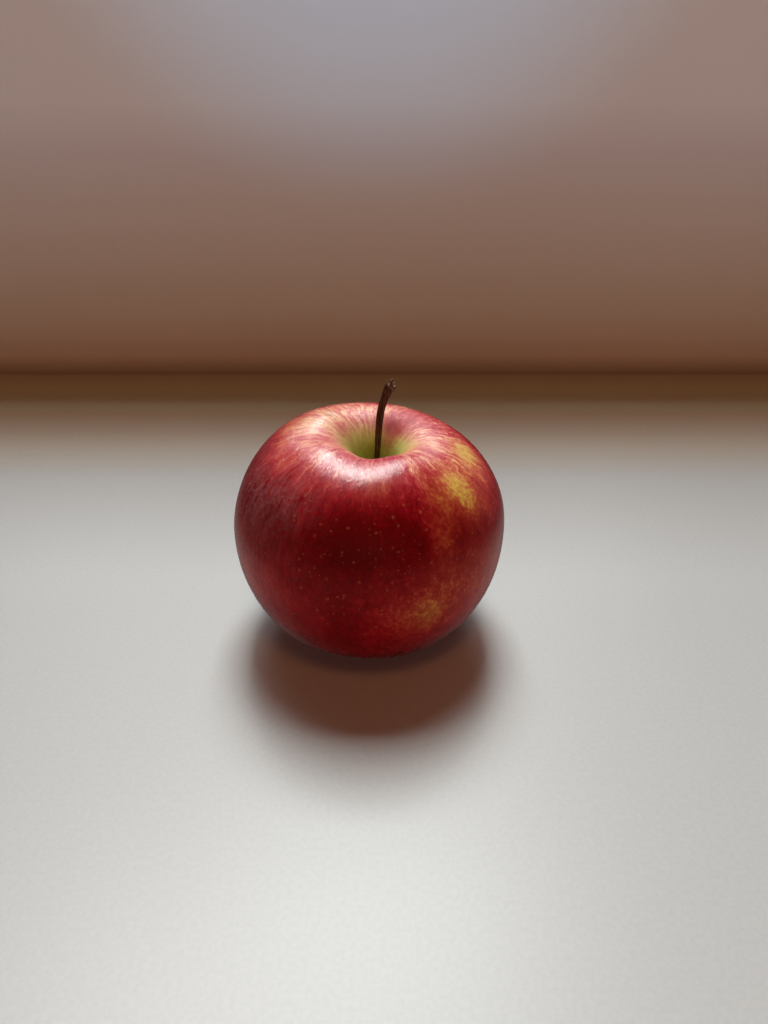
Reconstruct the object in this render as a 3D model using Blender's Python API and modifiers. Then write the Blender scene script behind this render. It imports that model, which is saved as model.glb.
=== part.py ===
"""Whole ripe apple with its stalk and the dried calyx in its base.

Metres, +Z up. The origin is on the floor under the middle of the fruit, and the side shown in
the front view faces -Y. The fruit stands on five small flat spots, one on each rib of its base.
"""
import math

import bmesh
import bpy
from mathutils import Vector
from mathutils.geometry import interpolate_bezier

# Fruit: overall sizes
FRUIT_RADIUS = 0.0375
WIDEST_Z = 0.0330
SHOULDER_Z = 0.0597
SHOULDER_RING_RADIUS = 0.0154
BASE_RING_RADIUS = 0.0122

# Stem hollow in the crown, and the shallower basin in the base
HOLLOW_DEPTH = 0.0140
HOLLOW_FLOOR_HANDLE = 0.0035
HOLLOW_LIP_HANDLE = 0.0104
BASIN_DEPTH = 0.0070
BASIN_HANDLE = 0.0040

# The crown leans: its ring is off centre, and one side stands higher
CROWN_SHIFT_X = 0.0012
CROWN_SHIFT_Y = -0.0008
HOLLOW_SHIFT_X = 0.0006
CROWN_SLOPE = 0.095
CROWN_LOW_SIDE = math.radians(-50)

# Five unequal ribs, highest on the shoulder ring and fading inward and outward from it
RIB_COUNT = 5
FIRST_RIB_ANGLE = math.radians(-65)
RIB_WIDTH = math.radians(25)
CROWN_RIB_HEIGHTS = (0.0013, 0.0001, 0.0001, 0.0012, 0.0015)
CROWN_RIB_REACH = 0.0090
CROWN_RIB_INWARD_POWER = 0.7
BASE_RIB_HEIGHT = 0.0010
BASE_RIB_REACH_Z = 0.0120

# Flat spots that the fruit rests on
LAND_WIDTH = 0.0018
FLAT_CUT = 0.00018

# Mesh rows along the outline and columns around it
HOLLOW_ROWS = 11
UPPER_ROWS = 14
LOWER_ROWS = 14
BASIN_ROWS = 7
COLUMNS = 96

# Stalk: centre line and thickness, from the hollow's floor to the broken end
STALK_POINTS = (
    (0.00180, -0.00080, 0.04650),
    (0.00225, -0.00065, 0.05341),
    (0.00265, -0.00040, 0.05999),
    (0.00315, -0.00005, 0.06537),
    (0.00395, 0.00030, 0.06870),
    (0.00500, 0.00070, 0.07130),
    (0.00580, 0.00090, 0.07260),
)
STALK_DIAMETERS = (0.0018, 0.0015, 0.0017, 0.0019, 0.0020, 0.0025, 0.0031)
# Splinters of the broken end: start, tip and thickness
SPLINTERS = (
    ((0.00540, 0.00080, 0.07190), (0.00650, 0.00120, 0.07465), 0.0014),
    ((0.00505, 0.00060, 0.07180), (0.00510, 0.00080, 0.07365), 0.0011),
    ((0.00580, 0.00090, 0.07190), (0.00760, 0.00110, 0.07230), 0.0013),
)
SPLINTER_TIP_SHARE = 0.45

# Calyx: a low button in the basin's top, with dried sepals folded down round it
CALYX_BUTTON_RADIUS = 0.0022
CALYX_BUTTON_HEIGHT = 0.0016
CALYX_GAP = 0.0004
SEPAL_COUNT = 5
SEPAL_LENGTH = 0.0046
SEPAL_WIDTH = 0.0022
SEPAL_THICKNESS = 0.0005
SEPAL_TILT = math.radians(38)

CIRCLE_HANDLE = 0.5523


def clear_scene():
    for item in list(bpy.data.objects):
        bpy.data.objects.remove(item, do_unlink=True)


def plain_material(name, color, roughness):
    material = bpy.data.materials.new(name)
    material.use_nodes = True
    shader = material.node_tree.nodes["Principled BSDF"]
    shader.inputs["Base Color"].default_value = (*color, 1.0)
    shader.inputs["Roughness"].default_value = roughness
    shader.inputs["Metallic"].default_value = 0.0
    return material


def new_object(name, mesh, material=None):
    item = bpy.data.objects.new(name, mesh)
    collection.objects.link(item)
    if material:
        mesh.materials.clear()
        mesh.materials.append(material)
    return item


def baked(item):
    """Replace an object by one that holds its evaluated mesh, with loose caps welded."""
    graph = bpy.context.evaluated_depsgraph_get()
    mesh = bpy.data.meshes.new_from_object(item.evaluated_get(graph))
    shape = bmesh.new()
    shape.from_mesh(mesh)
    bmesh.ops.remove_doubles(shape, verts=shape.verts, dist=0.00001)
    shape.to_mesh(mesh)
    shape.free()
    made = bpy.data.objects.new(item.name + "_mesh", mesh)
    made.matrix_world = item.matrix_world
    collection.objects.link(made)
    bpy.data.objects.remove(item, do_unlink=True)
    return made


def arc(start, start_handle, end_handle, end, steps):
    """Points of one curved stretch of the outline, without its last one."""
    corners = [Vector((r, 0.0, z)) for r, z in (start, start_handle, end_handle, end)]
    return interpolate_bezier(*corners, steps + 1)[:-1]


def fruit_outline():
    """Half section of the fruit: hollow floor, shoulder, widest place, base ring, basin top."""
    floor_z = SHOULDER_Z - HOLLOW_DEPTH
    ring = SHOULDER_RING_RADIUS
    outer_land = BASE_RING_RADIUS + LAND_WIDTH / 2
    inner_land = BASE_RING_RADIUS - LAND_WIDTH / 2
    upper_width = CIRCLE_HANDLE * (FRUIT_RADIUS - ring)
    upper_height = CIRCLE_HANDLE * (SHOULDER_Z - WIDEST_Z)
    lower_width = CIRCLE_HANDLE * (FRUIT_RADIUS - outer_land)
    lower_height = CIRCLE_HANDLE * WIDEST_Z
    points = arc(
        (0.0, floor_z), (HOLLOW_FLOOR_HANDLE, floor_z),
        (ring - HOLLOW_LIP_HANDLE, SHOULDER_Z), (ring, SHOULDER_Z), HOLLOW_ROWS)
    points += arc(
        (ring, SHOULDER_Z), (ring + upper_width, SHOULDER_Z),
        (FRUIT_RADIUS, WIDEST_Z + upper_height), (FRUIT_RADIUS, WIDEST_Z), UPPER_ROWS)
    points += arc(
        (FRUIT_RADIUS, WIDEST_Z), (FRUIT_RADIUS, WIDEST_Z - lower_height),
        (outer_land + lower_width, 0.0), (outer_land, 0.0), LOWER_ROWS)
    points.append(Vector((outer_land, 0.0, 0.0)))
    points += arc(
        (inner_land, 0.0), (inner_land - BASIN_HANDLE, 0.0),
        (BASIN_HANDLE, BASIN_DEPTH), (0.0, BASIN_DEPTH), BASIN_ROWS)
    points.append(Vector((0.0, 0.0, BASIN_DEPTH)))
    return points


def turned(name, points):
    """Solid of revolution: the outline with a Screw modifier, made a plain mesh."""
    mesh = bpy.data.meshes.new(name)
    edges = [(i, i + 1) for i in range(len(points) - 1)]
    mesh.from_pydata([tuple(p) for p in points], edges, [])
    item = new_object(name, mesh)
    screw = item.modifiers.new("turn", "SCREW")
    screw.axis = "Z"
    screw.angle = math.tau
    screw.steps = COLUMNS
    screw.render_steps = COLUMNS
    screw.use_merge_vertices = True
    screw.merge_threshold = 0.00001
    screw.use_smooth_shade = True
    return baked(item)


def smooth_step(value):
    value = min(max(value, 0.0), 1.0)
    return value * value * (3.0 - 2.0 * value)


def angle_between(first, second):
    return (first - second + math.pi) % math.tau - math.pi


def crown_rib(angle, radius):
    """How far the five unequal ribs lift the crown, at one angle and distance from the core."""
    inward = min(radius / SHOULDER_RING_RADIUS, 1.0) ** CROWN_RIB_INWARD_POWER
    outward = max(radius - SHOULDER_RING_RADIUS, 0.0) / CROWN_RIB_REACH
    share = inward * math.exp(-outward ** 2)
    height = 0.0
    for rib, top in enumerate(CROWN_RIB_HEIGHTS):
        off = angle_between(angle, FIRST_RIB_ANGLE + rib * math.tau / RIB_COUNT)
        height += top * math.exp(-(off / RIB_WIDTH) ** 2)
    return height * share


def grown(point):
    """Where a point of the even, turned fruit lies on the real, uneven one."""
    radius = math.hypot(point.x, point.y)
    angle = math.atan2(point.y, point.x)
    upper = point.z > WIDEST_Z
    near_axis = min(radius / SHOULDER_RING_RADIUS, 1.0)
    crown = 0.0
    if upper:
        rise = (point.z - WIDEST_Z) / (SHOULDER_Z - WIDEST_Z)
        crown = 1.0 if radius < SHOULDER_RING_RADIUS else smooth_step(rise)
    base = 0.0
    if not upper:
        base = 1.0 - smooth_step(point.z / BASE_RIB_REACH_Z)
        if radius < BASE_RING_RADIUS:
            base = radius / BASE_RING_RADIUS
    furrow = (1.0 - math.cos(RIB_COUNT * (angle - FIRST_RIB_ANGLE))) / 2.0

    moved = point.copy()
    moved.x += crown * (CROWN_SHIFT_X + HOLLOW_SHIFT_X * (1.0 - near_axis))
    moved.y += crown * CROWN_SHIFT_Y
    moved.z += crown ** 2 * crown_rib(angle, radius)
    moved.z -= crown * CROWN_SLOPE * radius * math.cos(angle - CROWN_LOW_SIDE)
    moved.z += BASE_RIB_HEIGHT * base * furrow
    moved.z = max(moved.z - FLAT_CUT, 0.0)
    return moved


def make_fruit():
    skin = plain_material("skin", (0.36, 0.02, 0.02), 0.32)
    item = turned("fruit_form", fruit_outline())
    for vertex in item.data.vertices:
        vertex.co = grown(vertex.co)
    item.data.materials.append(skin)
    item.data.shade_smooth()
    item.name = "fruit"
    return item


def tube(name, points, diameters, sides_resolution):
    """Round bar along a smooth line, with its own thickness at each point."""
    curve = bpy.data.curves.new(name, "CURVE")
    curve.dimensions = "3D"
    curve.bevel_depth = 0.5
    curve.bevel_resolution = sides_resolution
    curve.resolution_u = 6
    curve.use_fill_caps = True
    spline = curve.splines.new("BEZIER")
    spline.bezier_points.add(len(points) - 1)
    for knot, place, diameter in zip(spline.bezier_points, points, diameters):
        knot.co = place
        knot.radius = diameter
        knot.handle_left_type = "AUTO"
        knot.handle_right_type = "AUTO"
    item = bpy.data.objects.new(name, curve)
    collection.objects.link(item)
    return baked(item)


def splinter(name, start, tip, diameter):
    """Short tapered fibre bundle, from inside the stalk to its broken tip."""
    start, tip = Vector(start), Vector(tip)
    shape = bmesh.new()
    bmesh.ops.create_cone(
        shape, cap_ends=True, segments=8, radius1=diameter / 2,
        radius2=SPLINTER_TIP_SHARE * diameter / 2, depth=(tip - start).length)
    mesh = bpy.data.meshes.new(name)
    shape.to_mesh(mesh)
    shape.free()
    item = new_object(name, mesh)
    item.location = (start + tip) / 2
    item.rotation_mode = "QUATERNION"
    item.rotation_quaternion = (tip - start).to_track_quat("Z", "Y")
    return item


def fuse(base, pieces, name):
    """Join pieces into the base by one Boolean union, and drop what was joined."""
    group = bpy.data.collections.new(name + "_joined")
    bpy.context.scene.collection.children.link(group)
    for piece in pieces:
        collection.objects.unlink(piece)
        group.objects.link(piece)
    union = base.modifiers.new("join", "BOOLEAN")
    union.operation = "UNION"
    union.solver = "EXACT"
    union.operand_type = "COLLECTION"
    union.collection = group
    bpy.context.view_layer.update()
    whole = baked(base)
    for piece in pieces:
        bpy.data.objects.remove(piece, do_unlink=True)
    bpy.data.collections.remove(group)
    whole.name = name
    return whole


def make_stalk():
    bark = plain_material("stalk", (0.10, 0.05, 0.025), 0.75)
    bar = tube("stalk_bar", STALK_POINTS, STALK_DIAMETERS, 3)
    fibres = [
        splinter(f"splinter_{number}", start, tip, diameter)
        for number, (start, tip, diameter) in enumerate(SPLINTERS)
    ]
    stalk = fuse(bar, fibres, "stalk")
    stalk.data.materials.clear()
    stalk.data.materials.append(bark)
    stalk.data.shade_smooth()
    stalk.data.set_sharp_from_angle(angle=math.radians(50))
    return stalk


def sepal(number):
    """One dried leaf of the calyx: a thin lens that tapers to its tip and leans outward."""
    shape = bmesh.new()
    bmesh.ops.create_uvsphere(shape, u_segments=12, v_segments=6, radius=0.5)
    for vertex in shape.verts:
        along = vertex.co.x + 0.5
        narrow = 1.0 - 0.65 * along
        vertex.co.x = along * SEPAL_LENGTH
        vertex.co.y *= SEPAL_WIDTH * narrow
        vertex.co.z *= SEPAL_THICKNESS
    mesh = bpy.data.meshes.new(f"sepal_{number}")
    shape.to_mesh(mesh)
    shape.free()
    item = new_object(f"sepal_{number}", mesh)
    turn = FIRST_RIB_ANGLE + (number + 0.5) * math.tau / SEPAL_COUNT
    reach = CALYX_BUTTON_RADIUS * 0.45
    item.location = (reach * math.cos(turn), reach * math.sin(turn),
                     BASIN_DEPTH - FLAT_CUT - CALYX_GAP - CALYX_BUTTON_HEIGHT * 0.7)
    item.rotation_euler = (0.0, SEPAL_TILT, turn)
    return item


def make_calyx():
    dry = plain_material("calyx", (0.13, 0.08, 0.04), 0.9)
    shape = bmesh.new()
    bmesh.ops.create_uvsphere(shape, u_segments=16, v_segments=8, radius=1.0)
    for vertex in shape.verts:
        vertex.co.x *= CALYX_BUTTON_RADIUS
        vertex.co.y *= CALYX_BUTTON_RADIUS
        vertex.co.z *= CALYX_BUTTON_HEIGHT / 2
    mesh = bpy.data.meshes.new("calyx_button")
    shape.to_mesh(mesh)
    shape.free()
    button = new_object("calyx_button", mesh)
    button.location.z = BASIN_DEPTH - FLAT_CUT - CALYX_GAP - CALYX_BUTTON_HEIGHT / 2
    calyx = fuse(button, [sepal(number) for number in range(SEPAL_COUNT)], "calyx")
    calyx.data.materials.clear()
    calyx.data.materials.append(dry)
    calyx.data.shade_smooth()
    calyx.data.set_sharp_from_angle(angle=math.radians(60))
    return calyx


clear_scene()
collection = bpy.data.collections.new("apple")
bpy.context.scene.collection.children.link(collection)
make_fruit()
make_stalk()
make_calyx()
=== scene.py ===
"""Looks of a whole ripe apple: waxy streaked skin, bent dry stalk and the dried calyx."""
import math

import bmesh
import bpy
import numpy as np
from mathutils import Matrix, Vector, noise
from mathutils.geometry import interpolate_bezier


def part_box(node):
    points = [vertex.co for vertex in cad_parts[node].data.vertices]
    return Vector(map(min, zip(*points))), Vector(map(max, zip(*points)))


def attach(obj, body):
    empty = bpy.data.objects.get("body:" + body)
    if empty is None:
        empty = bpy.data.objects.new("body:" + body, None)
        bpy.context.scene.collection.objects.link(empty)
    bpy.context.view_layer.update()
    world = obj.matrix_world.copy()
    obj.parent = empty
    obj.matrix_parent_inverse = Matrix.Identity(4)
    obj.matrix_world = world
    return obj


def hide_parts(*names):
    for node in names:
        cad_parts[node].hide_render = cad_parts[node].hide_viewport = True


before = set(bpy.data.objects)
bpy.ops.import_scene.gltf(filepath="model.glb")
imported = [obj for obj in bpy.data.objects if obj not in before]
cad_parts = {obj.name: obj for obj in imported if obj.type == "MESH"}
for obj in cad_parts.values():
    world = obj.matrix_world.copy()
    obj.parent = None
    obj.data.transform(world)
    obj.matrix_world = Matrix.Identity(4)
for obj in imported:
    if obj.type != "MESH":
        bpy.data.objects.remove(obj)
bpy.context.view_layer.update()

# The fruit
# One swollen body with a deep hollow round the stalk and a shallow ribbed basin underneath. Its skin
# grows in lengthwise strips, so every column of the mesh runs from the hollow's floor to the basin.
fruit_low, fruit_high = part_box("fruit")
FRUIT_RADIUS = (fruit_high.x - fruit_low.x) / 2
WIDEST_Z = 0.0330
SHOULDER_Z = 0.0597
SHOULDER_RING_RADIUS = 0.0154
BASE_RING_RADIUS = 0.0122
HOLLOW_DEPTH = 0.0140
HOLLOW_FLOOR_HANDLE = 0.0035
HOLLOW_LIP_HANDLE = 0.0104
BASIN_DEPTH = 0.0070
BASIN_HANDLE = 0.0040
LAND_WIDTH = 0.0018
FLAT_CUT = 0.00018
CROWN_SHIFT_X = 0.0012
CROWN_SHIFT_Y = -0.0008
HOLLOW_SHIFT_X = 0.0006
CROWN_SLOPE = 0.095
CROWN_LOW_SIDE = math.radians(-50)
RIB_COUNT = 5
FIRST_RIB_ANGLE = math.radians(-65)
RIB_WIDTH = math.radians(25)
CROWN_RIB_HEIGHTS = (0.0013, 0.0001, 0.0001, 0.0012, 0.0015)
CROWN_RIB_REACH = 0.0090
CROWN_RIB_INWARD_POWER = 0.7
BASE_RIB_HEIGHT = 0.0010
BASE_RIB_REACH_Z = 0.0120
CIRCLE_HANDLE = 0.5523
SKIN_ROWS = {"hollow": 46, "upper": 78, "lower": 82, "basin": 32}
SKIN_COLUMNS = 384
SEAM_ANGLE = math.radians(90)
MM = 0.001


def arc_points(corners, steps):
    """Points of one curved stretch of the half outline, without its last one."""
    return interpolate_bezier(*[Vector((r, 0.0, z)) for r, z in corners], steps + 1)[:-1]


def fruit_outline():
    """Half outline of the even fruit as radius and height, from the hollow's floor to the basin's top."""
    floor_z = SHOULDER_Z - HOLLOW_DEPTH
    ring = SHOULDER_RING_RADIUS
    outer = BASE_RING_RADIUS + LAND_WIDTH / 2
    inner = BASE_RING_RADIUS - LAND_WIDTH / 2
    upper_width = CIRCLE_HANDLE * (FRUIT_RADIUS - ring)
    upper_height = CIRCLE_HANDLE * (SHOULDER_Z - WIDEST_Z)
    lower_width = CIRCLE_HANDLE * (FRUIT_RADIUS - outer)
    lower_height = CIRCLE_HANDLE * WIDEST_Z
    points = arc_points(((0.0, floor_z), (HOLLOW_FLOOR_HANDLE, floor_z),
                         (ring - HOLLOW_LIP_HANDLE, SHOULDER_Z), (ring, SHOULDER_Z)),
                        SKIN_ROWS["hollow"])
    points += arc_points(((ring, SHOULDER_Z), (ring + upper_width, SHOULDER_Z),
                          (FRUIT_RADIUS, WIDEST_Z + upper_height), (FRUIT_RADIUS, WIDEST_Z)),
                         SKIN_ROWS["upper"])
    points += arc_points(((FRUIT_RADIUS, WIDEST_Z), (FRUIT_RADIUS, WIDEST_Z - lower_height),
                          (outer + lower_width, 0.0), (outer, 0.0)), SKIN_ROWS["lower"])
    points.append(Vector((outer, 0.0, 0.0)))
    points += arc_points(((inner, 0.0), (inner - BASIN_HANDLE, 0.0),
                          (BASIN_HANDLE, BASIN_DEPTH), (0.0, BASIN_DEPTH)), SKIN_ROWS["basin"])
    points.append(Vector((0.0, 0.0, BASIN_DEPTH)))
    return np.array([(p.x, p.z) for p in points])


def smooth_step(value):
    value = np.clip(value, 0.0, 1.0)
    return value * value * (3.0 - 2.0 * value)


def angle_off(first, second):
    return (first - second + math.pi) % math.tau - math.pi


def grown(radius, height, angle):
    """Places of the uneven fruit's skin, for rows of radius and height and columns of angle."""
    upper = height > WIDEST_Z
    near_axis = np.minimum(radius / SHOULDER_RING_RADIUS, 1.0)
    rise = (height - WIDEST_Z) / (SHOULDER_Z - WIDEST_Z)
    crown = np.where(radius < SHOULDER_RING_RADIUS, 1.0, smooth_step(rise)) * upper
    base = np.where(radius < BASE_RING_RADIUS, radius / BASE_RING_RADIUS,
                    1.0 - smooth_step(height / BASE_RIB_REACH_Z)) * ~upper
    furrow = (1.0 - np.cos(RIB_COUNT * (angle - FIRST_RIB_ANGLE))) / 2.0
    outward = np.maximum(radius - SHOULDER_RING_RADIUS, 0.0) / CROWN_RIB_REACH
    share = near_axis ** CROWN_RIB_INWARD_POWER * np.exp(-outward ** 2)
    rib = 0.0
    for number, top in enumerate(CROWN_RIB_HEIGHTS):
        off = angle_off(angle, FIRST_RIB_ANGLE + number * math.tau / RIB_COUNT)
        rib = rib + top * np.exp(-(off / RIB_WIDTH) ** 2)
    x = radius * np.cos(angle) + crown * (CROWN_SHIFT_X + HOLLOW_SHIFT_X * (1.0 - near_axis))
    y = radius * np.sin(angle) + crown * CROWN_SHIFT_Y
    z = height + rib * share * crown ** 2
    z = z - crown * CROWN_SLOPE * radius * np.cos(angle - CROWN_LOW_SIDE)
    z = z + BASE_RIB_HEIGHT * base * furrow
    return np.stack([x, y, np.maximum(z - FLAT_CUT, 0.0)], axis=-1)


outline = fruit_outline()
arc_mm = np.concatenate([[0.0], np.cumsum(np.hypot(*np.diff(outline, axis=0).T))]) / MM
angles = SEAM_ANGLE + np.arange(SKIN_COLUMNS) * math.tau / SKIN_COLUMNS
radius_grid, angle_grid = np.meshgrid(outline[:, 0], angles, indexing="ij")
height_grid = outline[:, 1][:, None] + 0 * angle_grid
arc_grid = arc_mm[:, None] + 0 * angle_grid
skin_grid = grown(radius_grid, height_grid, angle_grid)


# Growth marks: faint swellings all over, and a small puckered scar on the back left of the crown
SWELL_DEPTH = 0.00012
SWELL_SIZE = 0.011
SCAR_ANGLE = math.radians(143)
SCAR_ARC_MM = 21.4
SCAR_RADIUS_MM = 1.5
SCAR_SQUASH = 1.7
SCAR_DEPTH = 0.00022
SCAR_RIM_RADII = 1.5
SCAR_RIM_WIDTH = 0.5
SCAR_RIM_SHARE = 0.35
RESTING_Z = 0.0002

skin_down = np.gradient(skin_grid, axis=0)
skin_along = (np.roll(skin_grid, -1, axis=1) - np.roll(skin_grid, 1, axis=1)) / 2
skin_out = np.cross(skin_down, skin_along)
skin_out /= np.maximum(np.linalg.norm(skin_out, axis=2, keepdims=True), 1e-12)
swell = np.array([noise.noise(Vector(point) / SWELL_SIZE) for point in skin_grid.reshape(-1, 3)])
swell = swell.reshape(skin_grid.shape[:2])
scar_across = angle_off(angle_grid, SCAR_ANGLE) * np.maximum(radius_grid, MM) / MM
scar_off = np.hypot(scar_across, (arc_grid - SCAR_ARC_MM) * SCAR_SQUASH) / SCAR_RADIUS_MM
scar = np.exp(-scar_off ** 2)
scar_rim = np.exp(-((scar_off - SCAR_RIM_RADII) / SCAR_RIM_WIDTH) ** 2)
inward = SWELL_DEPTH * (swell + 1.0) / 2 + SCAR_DEPTH * (scar - SCAR_RIM_SHARE * scar_rim)
inward = np.where(skin_grid[..., 2] < RESTING_Z, 0.0, np.maximum(inward, 0.0))
skin_grid = skin_grid - skin_out * inward[..., None]
skin_grid[..., 2] = np.maximum(skin_grid[..., 2], 0.0)


def skin_mesh(name, grid):
    """Closed mesh of the grid's rows and columns, with one point at each end."""
    rows, columns = grid.shape[:2]
    inner = grid[1:-1].reshape(-1, 3)
    points = np.concatenate([grid[0].mean(0, keepdims=True), inner, grid[-1].mean(0, keepdims=True)])
    last = len(points) - 1
    start = 1 + np.arange(rows - 2)[:, None] * columns
    here = np.arange(columns)
    beside = (here + 1) % columns
    faces = [(0, int(b), int(a)) for a, b in zip(1 + here, 1 + beside)]
    quads = np.stack([start[:-1] + here, start[:-1] + beside, start[1:] + beside, start[1:] + here], -1)
    faces += [tuple(quad) for quad in quads.reshape(-1, 4).tolist()]
    faces += [(last, int(a), int(b)) for a, b in zip(start[-1] + here, start[-1] + beside)]
    mesh = bpy.data.meshes.new(name)
    mesh.from_pydata(points.tolist(), [], faces)
    mesh.flip_normals()
    mesh.shade_smooth()
    return mesh


fruit_mesh = skin_mesh("fruit_skin", skin_grid)
fruit = bpy.data.objects.new("fruit_skin", fruit_mesh)
bpy.context.scene.collection.objects.link(fruit)


def keep_values(mesh, name, grid, kind="FLOAT"):
    """Store a value for each point of a skin grid, under a name that the material reads."""
    flat = [grid[:1].mean(axis=1), grid[1:-1].reshape(-1, *grid.shape[2:]), grid[-1:].mean(axis=1)]
    layer = mesh.attributes.new(name, kind, "POINT")
    layer.data.foreach_set("value" if kind == "FLOAT" else "vector",
                           np.concatenate(flat).astype(np.float32).ravel())


# The material's way over the skin: once round the unit circle, and mm down the fruit's side
around = np.stack([np.cos(angle_grid), np.sin(angle_grid), arc_grid], axis=-1)
keep_values(fruit_mesh, "around", around, "FLOAT_VECTOR")


def lay_out(mesh, columns):
    """Unroll the skin flat: across is the way round the fruit, up is the way up its side."""
    flat = mesh.uv_layers.new(name="OFBake").uv
    corner_points = np.zeros(len(mesh.loops), np.int32)
    mesh.loops.foreach_get("vertex_index", corner_points)
    spot = np.zeros(len(mesh.vertices) * 3, np.float32)
    mesh.attributes["around"].data.foreach_get("vector", spot)
    spot = spot.reshape(-1, 3)
    turn = (np.arctan2(spot[:, 1], spot[:, 0]) - SEAM_ANGLE) / math.tau % 1.0
    turn = np.round(turn * columns) / columns % 1.0
    across = turn[corner_points]
    ends = (corner_points == 0) | (corner_points == len(mesh.vertices) - 1)
    starts = np.zeros(len(mesh.polygons), np.int32)
    mesh.polygons.foreach_get("loop_start", starts)
    face_of = np.searchsorted(starts, np.arange(len(across)), side="right") - 1
    lowest = np.minimum.reduceat(np.where(ends, 1.0, across), starts)[face_of]
    highest = np.maximum.reduceat(np.where(ends, 0.0, across), starts)[face_of]
    across[(highest - lowest > 0.5) & (across < 0.5)] += 1.0
    pair_total = np.add.reduceat(np.where(ends, 0.0, across), starts)[face_of]
    across[ends] = pair_total[ends] / 2
    up = 1.0 - spot[corner_points, 2] / arc_mm[-1]
    flat.foreach_set("vector", np.stack([across, up], axis=1).astype(np.float32).ravel())


lay_out(fruit_mesh, SKIN_COLUMNS)


# The fruit's skin
# A yellow-green ground colour lies under a red pigment, laid down most where the sun reached. The
# pigment is thin in the hollow and in shaded patches, and breaks into lengthwise streaks.
RED_ARC_MM = (0, 8, 12, 16, 20, 26, 30, 34, 38, 42, 46, 52, 58, 66, 76, 86, 94, 104, 112, 121)
RED_DEPTH = (0.0, 0.01, 0.04, 0.17, 0.29, 0.36, 0.46, 0.66, 0.84, 0.94, 0.95, 0.84, 0.78, 0.78, 0.88,
             0.98, 0.92, 0.66, 0.38, 0.15)
# Each patch: angle in degrees, mm down from the stalk, half width in degrees, half length in mm, and
# how much more or less there is of it. The front is at -90, the right side at 0.
RED_PATCHES = (
    # The hollow's walls and its rim
    (-80, 19.0, 26, 4.0, 0.14),
    (-55, 22.0, 8, 4.0, -0.10),
    (-5, 17.0, 24, 5.0, -0.12),
    (20, 12.5, 24, 2.5, -0.12),
    (28, 17.0, 14, 4.5, -0.02),
    (39, 23.0, 14, 4.0, 0.12),
    (55, 17.0, 18, 5.0, 0.28),
    (62, 16.5, 24, 3.2, 0.14),
    (70, 27.0, 40, 6.0, -0.06),
    (78, 22.0, 16, 4.0, -0.06),
    (108, 14.0, 16, 3.0, -0.08),
    # The thinner red at 115, 142, 160 and 178 degrees on the crown's back left is partly painted
    # highlight, a pale patch where the window's sheen falls
    (115, 22.0, 18, 4.0, -0.12),
    (140, 16.0, 30, 4.0, 0.06),
    (142, 21.0, 26, 6.0, -0.16),
    (160, 28.0, 16, 6.0, -0.12),
    (178, 26.0, 22, 7.0, -0.14),
    # The shaded streak on the right of the front, and the red round it
    (-72, 27.0, 8, 4.0, 0.18),
    (-74, 35.0, 10, 5.0, 0.18),
    (-70, 46.0, 6, 6.0, 0.22),
    (-62, 35.0, 8, 4.0, 0.10),
    (-60, 27.0, 5, 5.0, -0.12),
    (-60, 46.0, 6, 9.0, -0.38),
    (-54, 36.0, 6, 6.0, -0.22),
    (-50, 44.0, 5, 5.0, -0.12),
    (-49, 47.0, 6, 5.0, 0.16),
    (-46, 29.0, 8, 4.0, 0.10),
    (-38, 37.0, 8.5, 8.0, -0.72),
    (-36, 46.0, 7, 4.0, 0.34),
    (-32, 44.0, 12, 6.0, -0.28),
    (-30, 27.0, 20, 4.0, 0.08),
    (-22, 31.0, 10, 6.0, -0.24),
    (-14, 37.0, 9, 5.0, -0.26),
    (-4, 34.0, 10, 6.0, -0.50),
    (8, 31.0, 14, 7.0, -0.12),
    (-68, 67.0, 10, 7.0, -0.46),
    (-40, 64.0, 24, 14.0, -0.32),
    # The dark red front
    (-86, 31.0, 7, 4.0, -0.12),
    (-92, 44.0, 20, 9.0, 0.54),
    (-98, 27.0, 12, 4.0, 0.10),
    (-100, 67.0, 8, 6.0, 0.10),
    (-100, 71.0, 10, 9.0, 0.22),
    (-103, 56.0, 16, 9.0, 0.12),
    (-110, 33.0, 8, 5.0, 0.14),
    (-122, 79.0, 18, 9.0, 0.14),
    # The left side
    # The first row, thinner red high on the left at -132 degrees, is painted highlight
    (-132, 28.0, 12, 5.0, -0.14),
    (-146, 45.0, 16, 8.0, 0.18),
    (-150, 42.0, 30, 8.0, 0.26),
    (-150, 62.0, 20, 8.0, -0.18),
    (-156, 35.0, 12, 4.0, -0.24),
    # The back, which had less sun
    (55, 62.0, 20, 20.0, -0.16),
    (100, 52.0, 34, 16.0, -0.30),
    (140, 74.0, 24, 14.0, -0.18),
)
YELLOW_PATCHES = (
    (-38, 39.0, 12, 10.0, 0.85),
    (-60, 48.0, 12, 10.0, 0.6),
    (-5, 31.0, 10, 3.5, 0.6),
    (162, 28.0, 18, 6.0, 0.4),
    (-86, 31.0, 10, 4.0, 0.7),
    (-103, 49.0, 12, 7.0, 0.5),
    (-50, 66.0, 26, 12.0, 0.28),
    (-68, 68.0, 9, 6.0, 0.7),
    (-54, 35.0, 7, 7.0, 0.6),
    (60, 15.5, 26, 4.0, 0.5),
    (-15, 16.0, 14, 3.0, 0.45),
    (120, 60.0, 60, 20.0, 0.6),
)
# Patches of pale bloom, partly painted sheen where the flanks catch the light
BLOOM_AND_SHEEN_PATCHES = (
    (-155, 42.0, 22, 13.0, 1.0),
    (-129, 37.0, 11, 6.0, 0.7),
    (-146, 68.0, 22, 14.0, 0.8),
    (-25, 70.0, 20, 20.0, 0.8),
    (150, 34.0, 40, 14.0, 0.7),
    (-12, 42.0, 18, 12.0, 0.5),
    (60, 45.0, 50, 18.0, 0.5),
)
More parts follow.
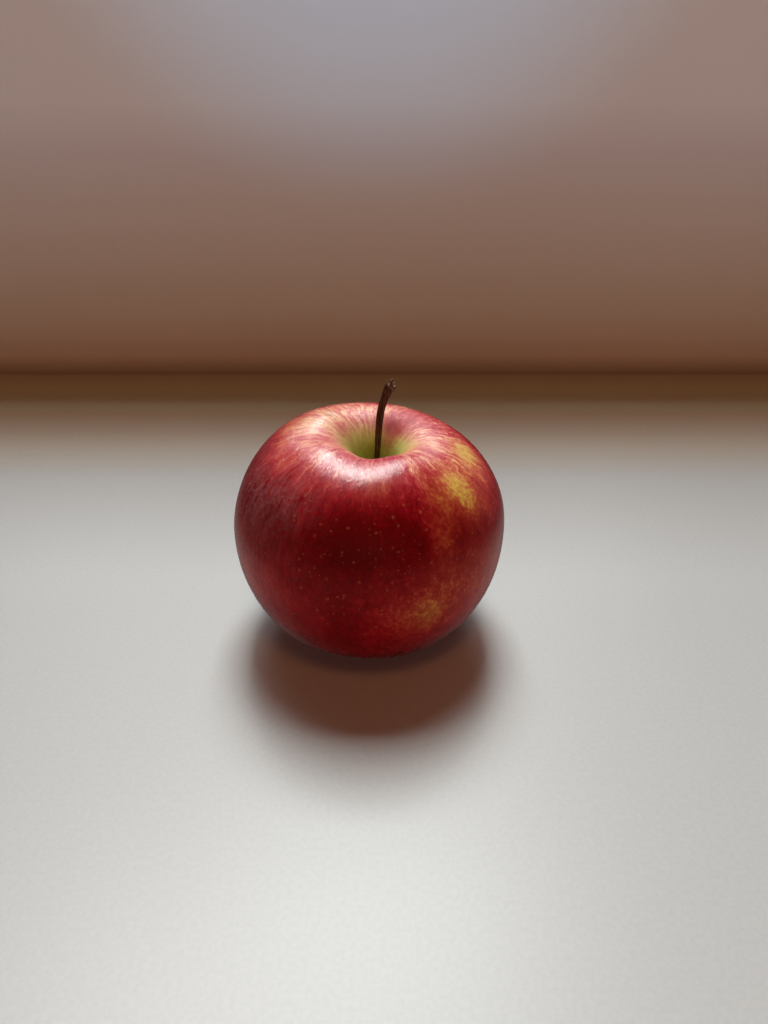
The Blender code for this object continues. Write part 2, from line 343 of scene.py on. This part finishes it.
# How rough the wax is on the way down, with rougher patches in the back of the hollow and on its rim
DULL_ARC_MM = (0, 12, 15, 19, 23, 60, 121)
DULLNESS = (0.85, 0.80, 0.60, 0.36, 0.25, 0.24, 0.30)
DULL_PATCHES = (
    (60, 19.0, 36, 5.0, 0.30),
    (-20, 20.0, 40, 4.0, 0.06),
)
PATCH_FADE = 0.8


def spread(grid, patches):
    """Add each patch to a grid of values, fading out from its middle."""
    for angle, arc, half_width, half_length, change in patches:
        across = angle_off(angle_grid, math.radians(angle)) / math.radians(half_width)
        along = (arc_grid - arc) / half_length
        grid = grid + change * np.exp(-PATCH_FADE * (across ** 2 + along ** 2))
    return grid


keep_values(fruit_mesh, "blush", spread(np.interp(arc_grid, RED_ARC_MM, RED_DEPTH), RED_PATCHES))
keep_values(fruit_mesh, "bloom_and_sheen", spread(0.0 * arc_grid, BLOOM_AND_SHEEN_PATCHES))
keep_values(fruit_mesh, "yellow", spread(0.0 * arc_grid, YELLOW_PATCHES))
keep_values(fruit_mesh, "scar", scar)
keep_values(fruit_mesh, "dull", spread(np.interp(arc_grid, DULL_ARC_MM, DULLNESS), DULL_PATCHES))


def new_material(name):
    material = bpy.data.materials.new(name)
    material.use_nodes = True
    material.node_tree.nodes.clear()
    return material, material.node_tree


def add(tree, kind, inputs=None, **settings):
    """Add a shader node; its inputs take values or other nodes' outputs."""
    node = tree.nodes.new("ShaderNode" + kind)
    for name, value in settings.items():
        setattr(node, name, value)
    for socket, value in (inputs or {}).items():
        if isinstance(value, bpy.types.NodeSocket):
            tree.links.new(value, node.inputs[socket])
        else:
            node.inputs[socket].default_value = value
    return node


def calc(tree, operation, *values, clamp=False):
    return add(tree, "Math", dict(enumerate(values)), operation=operation, use_clamp=clamp).outputs[0]


def shift(tree, operation, vector, by):
    return add(tree, "VectorMath", {0: vector, 1: by}, operation=operation).outputs[0]


def grains(tree, vector, scale, detail, output=0):
    """Even noise from 0 to 1, with this many grains to the metre."""
    return add(tree, "TexNoise", {"Vector": vector, "Scale": scale, "Detail": detail}).outputs[output]


def streaks(tree, vector, scale, detail=3.0, roughness=0.55):
    """Noise drawn out along one direction, from 0 to 1."""
    stretched = add(tree, "Mapping", {0: vector, 3: scale}).outputs[0]
    return add(tree, "TexNoise", {"Vector": stretched, "Scale": 1.0, "Detail": detail,
                                  "Roughness": roughness}).outputs[0]


def swing(tree, value, amount):
    """Turn noise from 0..1 into a swing of this amount either way round zero."""
    return calc(tree, "MULTIPLY", calc(tree, "SUBTRACT", value, 0.5), 2.0 * amount)


def blend_colors(tree, share, first, second, kind="MIX"):
    node = add(tree, "Mix", {0: share, 6: first, 7: second}, data_type="RGBA", blend_type=kind)
    return node.outputs[2]


def ramp(tree, value, stops):
    """Colour ramp whose stops are position and colour, or position and grey."""
    node = add(tree, "ValToRGB", {0: value})
    elements = node.color_ramp.elements
    while len(elements) < len(stops):
        elements.new(1.0)
    for element, (position, color) in zip(elements, stops):
        element.position = position
        if isinstance(color, (int, float)):
            color = (color, color, color)
        element.color = (*color, 1.0)
    return node.outputs[0]


# The way down the fruit's side counts from 0 at the stalk to 1 at the calyx
SIDE_MM = 120.0
skin, tree = new_material("apple_skin")
way = add(tree, "Attribute", attribute_name="around").outputs["Vector"]
red_depth = add(tree, "Attribute", attribute_name="blush").outputs["Fac"]
bloom_and_sheen = add(tree, "Attribute", attribute_name="bloom_and_sheen").outputs["Fac"]
scar_share = add(tree, "Attribute", attribute_name="scar").outputs["Fac"]
yellow_share = calc(tree, "MINIMUM", add(tree, "Attribute", attribute_name="yellow").outputs["Fac"], 1.0)
dullness = add(tree, "Attribute", attribute_name="dull").outputs["Fac"]
place = add(tree, "TexCoord").outputs["Object"]
down_side = calc(tree, "DIVIDE", add(tree, "SeparateXYZ", {0: way}).outputs[2], SIDE_MM)

# Streaks wander a little on their way down. Of the three numbers of each kind of streak, the first
# two say how fine it is round the fruit, and the last how often it changes on the way down.
WANDER = (0.30, 0.30, 0.0)
WANDER_GRAINS = 110.0
BROAD_STREAKS = (9.0, 9.0, 0.06)
FINE_STREAKS = (21.0, 21.0, 0.11)
HAIR_STREAKS = (66.0, 66.0, 0.24)
MOTTLE_GRAINS = 950.0
CLOUD_GRAINS = 190.0
drift = grains(tree, place, WANDER_GRAINS, 3.0, "Color")
drift = shift(tree, "MULTIPLY", shift(tree, "SUBTRACT", drift, (0.5, 0.5, 0.5)), WANDER)
bent_way = shift(tree, "ADD", way, drift)
broad_streak = streaks(tree, bent_way, BROAD_STREAKS, 2.0)
fine_streak = streaks(tree, bent_way, FINE_STREAKS, 3.0, 0.62)
hair_streak = streaks(tree, bent_way, HAIR_STREAKS, 2.0, 0.6)
mottle = grains(tree, place, MOTTLE_GRAINS, 3.0)
cloud = grains(tree, place, CLOUD_GRAINS, 3.0)

# The streaks are strongest round the crown, and fade to a soft mottling lower down and in the shaded
# yellow patches
STREAK_SHARES = ((0.08, 0.25), (0.12, 0.55), (0.17, 1.15), (0.22, 1.1), (0.32, 0.85), (0.42, 0.55),
                 (0.72, 0.6), (0.84, 0.15))
MOTTLE_SHARES = ((0.15, 0.35), (0.35, 1.0), (0.55, 1.1), (0.76, 0.35))
YELLOW_CALM = 0.65
BROAD_SWING = 0.24
FINE_SWING = 0.56
HAIR_SWING = 0.36
MOTTLE_SWING = 0.42
CLOUD_SWING = 0.26
PALE_ROUNDING = 0.32
streak_share = ramp(tree, down_side, STREAK_SHARES)
calm = calc(tree, "MULTIPLY_ADD", yellow_share, -YELLOW_CALM, 1.0)
streak_share = calc(tree, "MULTIPLY", streak_share, calm)
streaking = calc(tree, "ADD", swing(tree, broad_streak, BROAD_SWING), swing(tree, fine_streak, FINE_SWING))
streaking = calc(tree, "ADD", streaking, swing(tree, hair_streak, HAIR_SWING))
red_depth = calc(tree, "MULTIPLY_ADD", streaking, streak_share, red_depth)
mottle_share = ramp(tree, down_side, MOTTLE_SHARES)
red_depth = calc(tree, "MULTIPLY_ADD", swing(tree, mottle, MOTTLE_SWING), mottle_share, red_depth)
red_depth = calc(tree, "ADD", red_depth, swing(tree, cloud, CLOUD_SWING))
red_depth = calc(tree, "SMOOTH_MAX", red_depth, 0.0, PALE_ROUNDING)

# Ground colour, green in the hollow and pale orange below its rim
GROUND_STAGES = (
    (0.00, (0.19, 0.28, 0.008)), (0.08, (0.33, 0.38, 0.04)), (0.11, (0.53, 0.50, 0.13)),
    (0.15, (0.90, 0.60, 0.34)), (0.21, (0.94, 0.57, 0.33)), (0.28, (0.88, 0.46, 0.17)),
    (0.48, (0.80, 0.36, 0.09)), (0.60, (0.94, 0.38, 0.13)), (0.80, (0.93, 0.40, 0.13)),
    (1.00, (0.50, 0.42, 0.10)))
YELLOW = (0.67, 0.54, 0.07, 1.0)
# How strongly the pigment takes away red, green and blue light, and how deep it can lie
PIGMENT = (1.26, 5.1, 3.1)
DEEPEST = 1.4
DEPTH_STEPS = 14
ground = blend_colors(tree, yellow_share, ramp(tree, down_side, GROUND_STAGES), YELLOW)
pigment_stages = []
for step in range(DEPTH_STEPS + 1):
    share = step / DEPTH_STEPS
    left = tuple(math.exp(-strength * share * DEEPEST) for strength in PIGMENT)
    pigment_stages.append((share, left))
pigment = ramp(tree, calc(tree, "DIVIDE", red_depth, DEEPEST), pigment_stages)
skin_color = blend_colors(tree, 1.0, ground, pigment, "MULTIPLY")

# A thin pale layer dulls the red: partly a bloom where the fruit wasn't handled, partly painted sheen on
# the flanks. Cork browns the small scar
BLOOM_AND_SHEEN_COLOR = (0.80, 0.38, 0.42, 1.0)
BLOOM_AND_SHEEN_STREAKS = (24.0, 24.0, 0.14)
BLOOM_AND_SHEEN_STREAK_SHARE = 0.6
BLOOM_AND_SHEEN_BREAK = ((0.38, 0.01), (0.66, 0.22))
SCAR_COLOR = (0.36, 0.17, 0.07, 1.0)
SCAR_BREAK = 2.4
haze = calc(tree, "MULTIPLY", streaks(tree, way, BLOOM_AND_SHEEN_STREAKS, 4.0, 0.65), BLOOM_AND_SHEEN_STREAK_SHARE)
haze = calc(tree, "MULTIPLY_ADD", mottle, 1.0 - BLOOM_AND_SHEEN_STREAK_SHARE, haze)
bloom_and_sheen_share = calc(tree, "MULTIPLY", bloom_and_sheen, ramp(tree, haze, BLOOM_AND_SHEEN_BREAK), clamp=True)
skin_color = blend_colors(tree, bloom_and_sheen_share, skin_color, BLOOM_AND_SHEEN_COLOR)
cork = calc(tree, "MULTIPLY_ADD", mottle, SCAR_BREAK, -0.5)
cork = calc(tree, "MULTIPLY", scar_share, cork, clamp=True)
skin_color = blend_colors(tree, cork, skin_color, SCAR_COLOR)

# Pores in the skin: pale corky dots, each a different size, fewer round the crown
PORE_COLOR = (0.64, 0.27, 0.09, 1.0)
PORES_PER_METRE = 760.0
PORE_SIZES = 0.9
PORE_SIZE_CUT = 0.41
LEAST_PORE = 0.01
PORE_SHOW = ((0.18, 0.05), (0.30, 0.26), (0.60, 0.28))
WOBBLE_GRAINS = 1500.0
WOBBLE = (0.0006, 0.0006, 0.0006)
wobble = shift(tree, "MULTIPLY", grains(tree, place, WOBBLE_GRAINS, 1.0, "Color"), WOBBLE)
pore_place = shift(tree, "ADD", place, wobble)
pores = add(tree, "TexVoronoi", {"Vector": pore_place, "Scale": PORES_PER_METRE, "Randomness": 1.0})
own_size = add(tree, "SeparateColor", {0: pores.outputs["Color"]}).outputs[0]
pore_radius = calc(tree, "MULTIPLY_ADD", own_size, PORE_SIZES, -PORE_SIZE_CUT)
pore_radius = calc(tree, "MAXIMUM", pore_radius, LEAST_PORE)
pore = add(tree, "MapRange", {
    "Value": pores.outputs["Distance"], "From Min": pore_radius, "From Max": 0.0,
    "To Min": 0.0, "To Max": 1.0}, interpolation_type="SMOOTHSTEP").outputs[0]
pore = calc(tree, "MULTIPLY", pore, ramp(tree, down_side, PORE_SHOW))
skin_color = blend_colors(tree, pore, skin_color, PORE_COLOR)

# Fine relief: the streaks and the cork stand a little proud, most on the crown, under glossy wax
RELIEF_GRAINS = 2200.0
HAIR_RELIEF = 0.9
FINE_RELIEF = 0.35
GRAIN_RELIEF = 0.08
CORK_RELIEF = 1.5
RELIEF_SHARES = ((0.26, 1.0), (0.42, 0.3), (0.66, 0.0))
WAX_SWING = 0.10
grain = calc(tree, "MULTIPLY", grains(tree, place, RELIEF_GRAINS, 2.0), GRAIN_RELIEF)
relief = calc(tree, "MULTIPLY_ADD", hair_streak, HAIR_RELIEF, grain)
relief = calc(tree, "MULTIPLY_ADD", fine_streak, FINE_RELIEF, relief)
relief = calc(tree, "MULTIPLY_ADD", cork, CORK_RELIEF, relief)
relief = calc(tree, "MULTIPLY", relief, ramp(tree, down_side, RELIEF_SHARES))
bump = add(tree, "Bump", {"Strength": 0.6, "Distance": 0.00014, "Height": relief}).outputs[0]
wax = calc(tree, "ADD", dullness, swing(tree, mottle, WAX_SWING), clamp=True)
shader = add(tree, "BsdfPrincipled", {
    "Base Color": skin_color, "Roughness": wax, "Normal": bump, "Specular IOR Level": 0.37})
add(tree, "OutputMaterial", {0: shader.outputs[0]})
fruit_mesh.materials.append(skin)
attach(fruit, "root")
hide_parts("fruit")

# The stalk
# A dry woody stalk that grows out of the hollow's floor, thin below, bent to the right above, and
# swollen and torn where it came off the twig. Shallow ridges run up it, and tan fibres end it.
STALK_POINTS = (
    (0.00180, -0.00080, 0.04650), (0.00225, -0.00065, 0.05341), (0.00265, -0.00040, 0.05999),
    (0.00315, -0.00005, 0.06537), (0.00395, 0.00030, 0.06870), (0.00500, 0.00070, 0.07130),
    (0.00580, 0.00090, 0.07260))
STALK_DIAMETERS = (0.0018, 0.0015, 0.0017, 0.0019, 0.0020, 0.0025, 0.0031)
STALK_ROWS = 120
STALK_COLUMNS = 40
ROW_LOOK_AHEAD = 0.01
RIDGE_COUNT = 7
RIDGE_DEPTH = 0.035
RIDGE_TWIST = 2.5
ROUGH_DEPTH = 0.10
ROUGH_TURNS = 2.2
ROUGH_LENGTH = 14
# The last stretch is torn: its rim rises and falls round the stalk
TORN_SHARE = 0.93
TORN_LIFT = 0.0002
TORN_JAG = 0.0008
JAG_TURNS = 2.1
JAG_SEED = 7.7
# Bark is rubbed off a strip on the left of the upper stalk
RUBBED_FROM_SHARE = 0.62
RUBBED_RISE = 6.0
RUBBED_SIDE = 0.70
RUBBED_EDGE = 4.0
RUBBED_BARENESS = 0.8
TORN_BARENESS = 1.2
TORN_BARE_FROM = 0.2
# Torn fibres at the end: start, tip and thickness
FIBRES = (
    ((0.00545, 0.00080, 0.07180), (0.00640, 0.00120, 0.07450), 0.00110),
    ((0.00560, 0.00100, 0.07200), (0.00590, 0.00150, 0.07425), 0.00080),
    ((0.00570, 0.00060, 0.07200), (0.00670, 0.00040, 0.07390), 0.00095),
    ((0.00500, 0.00070, 0.07170), (0.00495, 0.00090, 0.07370), 0.00085),
    ((0.00520, 0.00020, 0.07190), (0.00545, -0.00010, 0.07370), 0.00090),
    ((0.00600, 0.00020, 0.07170), (0.00690, -0.00030, 0.07275), 0.00105),
    ((0.00600, 0.00110, 0.07180), (0.00725, 0.00120, 0.07240), 0.00105),
    ((0.00530, 0.00150, 0.07190), (0.00560, 0.00200, 0.07345), 0.00080),
)
FIBRE_ROWS = 7
FIBRE_SIDES = 8
FIBRE_WANDER = 0.00022
FIBRE_TAPER = 0.65
FIBRE_SWELL = 0.35
FIBRE_BENDS = 2.4
FIBRE_KNOTS = 3.0
BEND_SEED_STEP = 3.1
BEND_SEED_HEIGHT = 0.3
AXIS_SEED_STEP = 7.0
KNOT_SEED_STEP = 5.3
FIBRE_BARE_FOOT = 0.25
FIBRE_BARE_STEP = 0.37


def along_line(values, share):
    """Value at a share of the way along a list, smoothly through its members."""
    values = [np.array(v, float) for v in values]
    spot = share * (len(values) - 1)
    left = min(int(spot), len(values) - 2)
    part = spot - left
    before = values[max(left - 1, 0)] if left else 2 * values[0] - values[1]
    after = values[left + 2] if left + 2 < len(values) else 2 * values[-1] - values[-2]
    first, second = values[left], values[left + 1]
    return 0.5 * (2 * first + (second - before) * part
                  + (2 * before - 5 * first + 4 * second - after) * part ** 2
                  + (3 * first - before - 3 * second + after) * part ** 3)


def ring_skin(shape, rings):
    """Join neighbouring rings of points by quads, and close both ends."""
    for lower, upper in zip(rings, rings[1:]):
        for column in range(len(lower)):
            beside = (column + 1) % len(lower)
            shape.faces.new((lower[column], lower[beside], upper[beside], upper[column]))
    shape.faces.new(rings[0])
    shape.faces.new(rings[-1][::-1])


def ring_turns(side, front, count):
    """Turn and outward direction for each point of a ring."""
    turns = [math.tau * column / count for column in range(count)]
    return [(turn, side * math.cos(turn) + front * math.sin(turn)) for turn in turns]


def add_stem(shape, bare):
    """The stalk itself, as a closed tube that follows its line."""
    rings = []
    for row in range(STALK_ROWS + 1):
        share = row / STALK_ROWS
        centre = Vector(along_line(STALK_POINTS, share))
        ahead = Vector(along_line(STALK_POINTS, min(share + ROW_LOOK_AHEAD, 1.0)))
        behind = Vector(along_line(STALK_POINTS, max(share - ROW_LOOK_AHEAD, 0.0)))
        direction = (ahead - behind).normalized()
        side = direction.cross(Vector((0, 1, 0))).normalized()
        radius = float(along_line(STALK_DIAMETERS, share)) / 2
        torn = max(share - TORN_SHARE, 0.0) / (1.0 - TORN_SHARE)
        upper = min(max(share - RUBBED_FROM_SHARE, 0.0) * RUBBED_RISE, 1.0)
        ring = []
        for turn, out in ring_turns(side, side.cross(direction), STALK_COLUMNS):
            ridge = math.cos(RIDGE_COUNT * turn + RIDGE_TWIST * share)
            rough = noise.noise(out * ROUGH_TURNS + Vector((0, 0, share * ROUGH_LENGTH)))
            size = radius * (1.0 + RIDGE_DEPTH * ridge + ROUGH_DEPTH * rough)
            jag = noise.noise(Vector((math.cos(turn) * JAG_TURNS, math.sin(turn) * JAG_TURNS, JAG_SEED)))
            lift = torn * (TORN_LIFT + TORN_JAG * jag)
            corner = shape.verts.new(centre + out * size + direction * lift)
            rubbed = max(-out.x - RUBBED_SIDE, 0.0) * RUBBED_EDGE * upper * RUBBED_BARENESS
            corner[bare] = min(max(torn * TORN_BARENESS - TORN_BARE_FROM, rubbed), 1.0)
            ring.append(corner)
        rings.append(ring)
    ring_skin(shape, rings)


def add_fibre(shape, bare, number, start, tip, thickness):
    """One torn fibre, a short uneven spike, barer towards its tip."""
    start, tip = Vector(start), Vector(tip)
    direction = (tip - start).normalized()
    side = direction.orthogonal().normalized()
    rings = []
    for row in range(FIBRE_ROWS + 1):
        share = row / FIBRE_ROWS
        bend = Vector((number * BEND_SEED_STEP, share * FIBRE_BENDS, BEND_SEED_HEIGHT))
        wander = Vector([noise.noise(bend + Vector((0, 0, AXIS_SEED_STEP * axis))) for axis in range(3)])
        wander *= FIBRE_WANDER * share
        radius = thickness / 2 * (1.0 - FIBRE_TAPER * share ** 2)
        ring = []
        for turn, out in ring_turns(side, direction.cross(side), FIBRE_SIDES):
            knot = Vector((number * KNOT_SEED_STEP, turn, share * FIBRE_KNOTS))
            uneven = 1.0 + FIBRE_SWELL * noise.noise(knot)
            corner = shape.verts.new(start.lerp(tip, share) + wander + out * radius * uneven)
            tip_bare = (1.0 - FIBRE_BARE_FOOT) * ((number * FIBRE_BARE_STEP) % 1.0)
            corner[bare] = FIBRE_BARE_FOOT + tip_bare * share ** 2
            ring.append(corner)
        rings.append(ring)
    ring_skin(shape, rings)


stalk_shape = bmesh.new()
bare_layer = stalk_shape.verts.layers.float.new("bare")
add_stem(stalk_shape, bare_layer)
for number, fibre_size in enumerate(FIBRES):
    add_fibre(stalk_shape, bare_layer, number, *fibre_size)
bmesh.ops.recalc_face_normals(stalk_shape, faces=stalk_shape.faces)
stalk_mesh = bpy.data.meshes.new("stalk_bark")
stalk_shape.to_mesh(stalk_mesh)
stalk_shape.free()
stalk_mesh.shade_smooth()
stalk = bpy.data.objects.new("stalk_bark", stalk_mesh)
bpy.context.scene.collection.objects.link(stalk)

# Dark bark with fine lengthwise fibres, and tan wood where it is bare
BARK_FIBRES = (2600.0, 2600.0, 160.0)
BARK_PATCH_GRAINS = 500.0
BARK_PATCH_SWING = 0.2
BARK_STAGES = ((0.30, (0.020, 0.009, 0.004)), (0.52, (0.070, 0.026, 0.010)), (0.72, (0.19, 0.090, 0.035)))
WOOD_STAGES = ((0.38, (0.07, 0.035, 0.018)), (0.62, (0.46, 0.29, 0.18)))
bark, tree = new_material("stalk_bark")
place = add(tree, "TexCoord").outputs["Object"]
bare_wood = add(tree, "Attribute", attribute_name="bare").outputs["Fac"]
fibre = streaks(tree, place, BARK_FIBRES, 4.0, 0.6)
patchy = swing(tree, grains(tree, place, BARK_PATCH_GRAINS, 3.0), BARK_PATCH_SWING)
bark_color = ramp(tree, calc(tree, "ADD", fibre, patchy), BARK_STAGES)
bark_color = blend_colors(tree, bare_wood, bark_color, ramp(tree, fibre, WOOD_STAGES))
bark_bump = add(tree, "Bump", {"Strength": 0.6, "Distance": 0.0001, "Height": fibre}).outputs[0]
shader = add(tree, "BsdfPrincipled", {"Base Color": bark_color, "Roughness": 0.62,
                                      "Normal": bark_bump, "Specular IOR Level": 0.25})
add(tree, "OutputMaterial", {0: shader.outputs[0]})
stalk_mesh.materials.append(bark)
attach(stalk, "root")
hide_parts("stalk")

# The calyx
# What is left of the blossom, a low button with five dried sepals, sits in the top of the basin. It
# is grey-brown and papery, with fine veins.
VEIN_GRAINS = 900.0
LEAF_STAGES = ((0.3, (0.05, 0.03, 0.015)), (0.7, (0.22, 0.15, 0.08)))
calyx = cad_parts["calyx"]
dry_leaf, tree = new_material("dry_calyx")
vein = grains(tree, add(tree, "TexCoord").outputs["Object"], VEIN_GRAINS, 4.0)
leaf_color = ramp(tree, vein, LEAF_STAGES)
leaf_bump = add(tree, "Bump", {"Strength": 0.5, "Distance": 0.0002, "Height": vein}).outputs[0]
shader = add(tree, "BsdfPrincipled", {"Base Color": leaf_color, "Roughness": 0.85, "Normal": leaf_bump})
add(tree, "OutputMaterial", {0: shader.outputs[0]})
calyx.data.materials.clear()
calyx.data.materials.append(dry_leaf)

# The table
# A plain pale top with a plain low backdrop standing behind the fruit. The backdrop keeps the window
# light off its own front and off the strip of table before it, so both turn dark and warm there, and
# painted shade in their colours adds to it.
TABLE_HALF = 1.2
BACKDROP_Y = 0.222
BACKDROP_HEIGHT = 0.24
BACKDROP_THICKNESS = 0.01
COVE_RADIUS = 0.012
COVE_STEPS = 8
table_shape = bmesh.new()
side_line = [(-TABLE_HALF, 0.0), (BACKDROP_Y - COVE_RADIUS, 0.0)]
for step in range(1, COVE_STEPS + 1):
    turn = math.radians(90) * step / COVE_STEPS
    side_line.append((BACKDROP_Y - COVE_RADIUS + COVE_RADIUS * math.sin(turn),
                      COVE_RADIUS - COVE_RADIUS * math.cos(turn)))
side_line += [(BACKDROP_Y, BACKDROP_HEIGHT), (BACKDROP_Y + BACKDROP_THICKNESS, BACKDROP_HEIGHT),
              (BACKDROP_Y + BACKDROP_THICKNESS, 0.0), (TABLE_HALF, 0.0)]
left_line = [table_shape.verts.new((-TABLE_HALF, y, z)) for y, z in side_line]
right_line = [table_shape.verts.new((TABLE_HALF, y, z)) for y, z in side_line]
for near, far in zip(range(len(side_line) - 1), range(1, len(side_line))):
    table_shape.faces.new((left_line[near], right_line[near], right_line[far], left_line[far]))
table_mesh = bpy.data.meshes.new("table_top")
table_shape.to_mesh(table_mesh)
table_shape.free()
table = bpy.data.objects.new("table_top", table_mesh)
bpy.context.scene.collection.objects.link(table)

# Tones of the top, of the backdrop on the way up, and of the strip on the way to the backdrop; the last
# two are painted shade and light
SPECK_GRAINS = 900.0
TOP_TONES = ((0.3, (0.445, 0.45, 0.46)), (0.7, (0.475, 0.48, 0.49)))
# Painted shade darkens and warms the backdrop's foot, and painted cool light brightens its top
BACKDROP_PAINTED_LIGHT_AND_SHADE = (
    (0.0, (0.30, 0.25, 0.18)), (0.03, (0.56, 0.56, 0.45)), (0.075, (0.66, 0.67, 0.56)),
    (0.20, (0.69, 0.71, 0.63)), (0.36, (0.73, 0.77, 0.75)), (0.445, (0.75, 0.82, 0.86)),
    (0.54, (0.84, 0.95, 1.0)))
# Painted shade, dark and warm, on the strip of table before the backdrop
STRIP_PAINTED_SHADE_TONES = (
    (0.40, (1.0, 1.0, 1.0)), (0.51, (1.0, 0.90, 0.78)), (0.63, (0.90, 0.72, 0.56)),
    (0.70, (0.92, 0.70, 0.48)), (0.76, (1.0, 0.94, 0.62)), (0.86, (1.0, 0.86, 0.50)),
    (0.94, (0.85, 0.72, 0.46)), (0.97, (0.45, 0.33, 0.20)))
# The top's sheen fades out towards the backdrop
SHEEN_SHARES = ((0.15, 0.30), (0.60, 0.0))
COVE_SHARPNESS = 1500.0
table_top, tree = new_material("pale_table")
place = add(tree, "TexCoord").outputs["Object"]
table_place = add(tree, "SeparateXYZ", {0: place})
height = table_place.outputs[2]
to_wall = calc(tree, "DIVIDE", table_place.outputs[1], BACKDROP_Y)
pale = ramp(tree, grains(tree, place, SPECK_GRAINS, 2.0), TOP_TONES)
pale = blend_colors(tree, 1.0, pale, ramp(tree, to_wall, STRIP_PAINTED_SHADE_TONES), "MULTIPLY")
backdrop_painted_light_and_shade = ramp(tree, calc(tree, "DIVIDE", height, BACKDROP_HEIGHT), BACKDROP_PAINTED_LIGHT_AND_SHADE)
on_backdrop = calc(tree, "MULTIPLY", height, COVE_SHARPNESS, clamp=True)
tone = blend_colors(tree, on_backdrop, pale, backdrop_painted_light_and_shade)
shader = add(tree, "BsdfPrincipled", {
    "Base Color": tone, "Roughness": 0.36, "Specular IOR Level": ramp(tree, to_wall, SHEEN_SHARES)})
add(tree, "OutputMaterial", {0: shader.outputs[0]})
table_mesh.materials.append(table_top)
table.visible_glossy = False

# Light and camera
# Soft window lights stand behind and above the fruit, and its shadow falls to the front. Warm weak
# light from the room fills the side towards the camera, and a cool beam lights the backdrop's top.
VIEW_ELEVATION = math.radians(30)
VIEW_DISTANCE = 0.2146
VIEW_TARGET = Vector((0.0041, 0.0, 0.03587))
LENS_MM = 27.0
FILM_MM = 36.0
NEAREST_SEEN = 0.01
LAMP_CENTRE = Vector((0.0, 0.0, 0.03))
BEAM_POWER = 12.0
BEAM_COLOR = (0.30, 0.71, 1.0)
BEAM_WIDTH = math.radians(16)
BEAM_PLACE = Vector((0.0, -1.0, 0.40))
BEAM_TARGET = Vector((0.0, BACKDROP_Y, 0.25))


def lamp(name, azimuth, elevation, distance, width, height, power, color):
    """Soft rectangular light; azimuth 0 is straight behind the fruit, and 90 is to its right."""
    turn, rise = math.radians(azimuth), math.radians(elevation)
    way_out = Vector((math.sin(turn) * math.cos(rise), math.cos(turn) * math.cos(rise), math.sin(rise)))
    data = bpy.data.lights.new(name, "AREA")
    data.shape = "RECTANGLE"
    data.size = width
    data.size_y = height
    data.energy = power
    data.color = color
    item = bpy.data.objects.new(name, data)
    item.location = way_out * distance + LAMP_CENTRE
    item.rotation_euler = way_out.to_track_quat("Z", "Y").to_euler()
    bpy.context.scene.collection.objects.link(item)
    return item


lamp("window_high", 0, 62, 2.5, 0.85, 1.15, 72.0, (0.93, 1.0, 0.965))
lamp("window_low", -5, 37, 2.5, 2.2, 0.85, 18.0, (0.93, 1.0, 0.98))
# This one only adds its shine on the crown's left
side_window = lamp("window_side", -38, 62, 2.5, 0.6, 0.6, 27.0, (1.0, 1.0, 1.0))
side_window.visible_diffuse = False
warm_room = lamp("warm_room", 174, 62, 1.0, 0.22, 0.22, 1.1, (1.0, 0.36, 0.12))
warm_room.visible_glossy = False
front_room = lamp("front_room", 180, 22, 2.0, 1.6, 1.0, 6.6, (1.0, 0.41, 0.31))
front_room.visible_glossy = False
beam_data = bpy.data.lights.new("wall_wash", "SPOT")
beam_data.energy = BEAM_POWER
beam_data.color = BEAM_COLOR
beam_data.spot_size = BEAM_WIDTH
beam_data.spot_blend = 1.0
beam = bpy.data.objects.new("wall_wash", beam_data)
beam.location = BEAM_PLACE
beam.rotation_euler = (BEAM_PLACE - BEAM_TARGET).to_track_quat("Z", "Y").to_euler()
bpy.context.scene.collection.objects.link(beam)

# The fruit's sides mirror the lit table behind it, and its front mirrors the dim room: so the table
# is kept out of reflections, and the room holds that glow below its horizon, towards the back
ROOM_COLOR = (0.022, 0.012, 0.009, 1.0)
GLOW_COLOR = (0.36, 0.28, 0.26, 1.0)
GLOW_TO_BACK = ((0.40, 0.0), (0.75, 1.0))
GLOW_BELOW = ((0.06, 0.3), (0.20, 1.0), (0.26, 1.0), (0.37, 0.0))
GLOW_ASIDE = ((0.10, 0.0), (0.50, 1.0))
world = bpy.data.worlds.new("dim_room")
world.use_nodes = True
tree = world.node_tree
direction = add(tree, "SeparateXYZ", {0: add(tree, "TexCoord").outputs["Generated"]})
to_back = ramp(tree, calc(tree, "MULTIPLY_ADD", direction.outputs[1], 0.5, 0.5), GLOW_TO_BACK)
below = ramp(tree, calc(tree, "MULTIPLY_ADD", direction.outputs[2], 0.5, 0.5), GLOW_BELOW)
aside = ramp(tree, calc(tree, "ABSOLUTE", direction.outputs[0]), GLOW_ASIDE)
glow = calc(tree, "MULTIPLY", calc(tree, "MULTIPLY", to_back, below), aside)
room = blend_colors(tree, glow, ROOM_COLOR, GLOW_COLOR)
tree.links.new(room, tree.nodes["Background"].inputs[0])
bpy.context.scene.world = world
bpy.context.scene.view_settings.view_transform = "Standard"

camera_data = bpy.data.cameras.new("front_view")
camera_data.lens = LENS_MM
camera_data.sensor_width = FILM_MM
camera_data.clip_start = NEAREST_SEEN
camera = bpy.data.objects.new("front_view", camera_data)
toward = Vector((0.0, -math.cos(VIEW_ELEVATION), math.sin(VIEW_ELEVATION)))
camera.location = VIEW_TARGET + toward * VIEW_DISTANCE
camera.rotation_euler = toward.to_track_quat("Z", "Y").to_euler()
bpy.context.scene.collection.objects.link(camera)
bpy.context.scene.camera = camera
